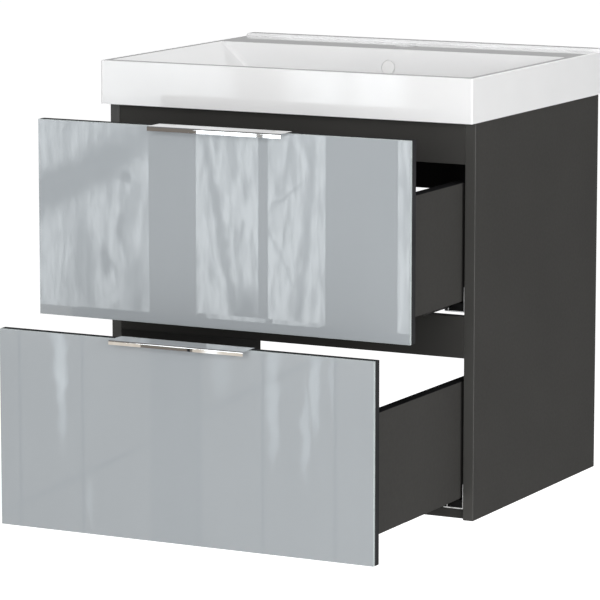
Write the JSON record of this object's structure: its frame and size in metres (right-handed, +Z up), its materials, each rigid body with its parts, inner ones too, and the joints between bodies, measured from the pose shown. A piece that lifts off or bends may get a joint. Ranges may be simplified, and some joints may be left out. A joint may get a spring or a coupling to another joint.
{
  "type": "bathroom vanity cabinet",
  "caption": "Wall-hung vanity: one-piece rectangular washbasin on a dark open-backed carcass, with glass-faced drawers on concealed runners.",
  "frame": {"origin": "on the wall plane, mid-width, on the line where the washbasin rests on the carcass", "axes": "+Z up, +Y into the wall, so the front faces -Y, and +X to the right seen from the front"},
  "size_m": [0.6, 0.787, 0.6407],
  "materials": {
    "white_ceramic": "high gloss white glaze",
    "chrome": "polished",
    "back_painted_glass": "clear float glass over grey-blue paint, opaque, high gloss",
    "anthracite_board": "matt anthracite melamine laminate on chipboard",
    "beech_wood": "fluted beech dowel",
    "plated_steel": "nickel-plated",
    "zinc_plated_steel": "bright zinc plate",
    "dark_steel": "dark phosphated, greased",
    "white_plastic": "moulded gloss white",
    "black_plastic": "moulded matt black"
  },
  "bodies": {
    "cabinet": {"bottom_panel": "anthracite_board", "cam_bolts": "plated_steel", "cam_locks": "plated_steel", "carcass_dowels": "beech_wood", "hanger_screws": "plated_steel", "left_cabinet_hanger": "zinc_plated_steel", "left_side_panel": "anthracite_board", "left_wall_plate": "zinc_plated_steel", "lower_back_rail": "anthracite_board", "lower_left_runner_rail": "zinc_plated_steel", "lower_right_runner_rail": "zinc_plated_steel", "middle_front_rail": "anthracite_board", "overflow_cap": "white_plastic", "right_cabinet_hanger": "zinc_plated_steel", "right_side_panel": "anthracite_board", "right_wall_plate": "zinc_plated_steel", "runner_end_caps": "black_plastic", "runner_screws": "plated_steel", "top_front_rail": "anthracite_board", "upper_back_rail": "anthracite_board", "upper_left_runner_rail": "zinc_plated_steel", "upper_right_runner_rail": "zinc_plated_steel", "washbasin": "white_ceramic"},
    "upper_drawer": {"trap_recess_front_wall": "anthracite_board", "trap_recess_left_wall": "anthracite_board", "trap_recess_right_wall": "anthracite_board", "upper_drawer_bottom": "anthracite_board", "upper_drawer_left_back": "anthracite_board", "upper_drawer_left_side": "anthracite_board", "upper_drawer_right_back": "anthracite_board", "upper_drawer_right_side": "anthracite_board", "upper_front_board": "anthracite_board", "upper_front_brackets": "zinc_plated_steel", "upper_front_glass": "back_painted_glass", "upper_handle": "chrome", "upper_handle_screws": "plated_steel", "upper_left_runner_slide": "zinc_plated_steel", "upper_locking_clips": "black_plastic", "upper_right_runner_slide": "zinc_plated_steel"},
    "upper_left_runner_slider": {"upper_left_runner_glides": "black_plastic", "upper_left_runner_middle": "dark_steel"},
    "upper_right_runner_slider": {"upper_right_runner_glides": "black_plastic", "upper_right_runner_middle": "dark_steel"},
    "lower_drawer": {"lower_drawer_back": "anthracite_board", "lower_drawer_bottom": "anthracite_board", "lower_drawer_left_side": "anthracite_board", "lower_drawer_right_side": "anthracite_board", "lower_front_board": "anthracite_board", "lower_front_brackets": "zinc_plated_steel", "lower_front_glass": "back_painted_glass", "lower_handle": "chrome", "lower_handle_screws": "plated_steel", "lower_left_runner_slide": "zinc_plated_steel", "lower_locking_clips": "black_plastic", "lower_right_runner_slide": "zinc_plated_steel"},
    "lower_left_runner_slider": {"lower_left_runner_glides": "black_plastic", "lower_left_runner_middle": "dark_steel"},
    "lower_right_runner_slider": {"lower_right_runner_glides": "black_plastic", "lower_right_runner_middle": "dark_steel"}
  },
  "joints": [
    {"name": "upper_drawer_slide", "type": "slide", "parent": "cabinet", "child": "upper_drawer", "axis": [0, -1, 0], "range_m": [-0.19, 0.2]},
    {"name": "upper_left_runner_slide", "type": "slide", "parent": "cabinet", "child": "upper_left_runner_slider", "axis": [0, -1, 0], "range_m": [-0.095, 0.1]},
    {"name": "upper_right_runner_slide", "type": "slide", "parent": "cabinet", "child": "upper_right_runner_slider", "axis": [0, -1, 0], "range_m": [-0.095, 0.1]},
    {"name": "lower_drawer_slide", "type": "slide", "parent": "cabinet", "child": "lower_drawer", "axis": [0, -1, 0], "range_m": [-0.301, 0.089]},
    {"name": "lower_left_runner_slide", "type": "slide", "parent": "cabinet", "child": "lower_left_runner_slider", "axis": [0, -1, 0], "range_m": [-0.1505, 0.0445]},
    {"name": "lower_right_runner_slide", "type": "slide", "parent": "cabinet", "child": "lower_right_runner_slider", "axis": [0, -1, 0], "range_m": [-0.1505, 0.0445]}
  ],
  "couplings": [
    {"joint": "upper_left_runner_slide", "follows": "upper_drawer_slide", "ratio": 0.5},
    {"joint": "upper_right_runner_slide", "follows": "upper_drawer_slide", "ratio": 0.5},
    {"joint": "lower_left_runner_slide", "follows": "lower_drawer_slide", "ratio": 0.5},
    {"joint": "lower_right_runner_slide", "follows": "lower_drawer_slide", "ratio": 0.5}
  ]
}
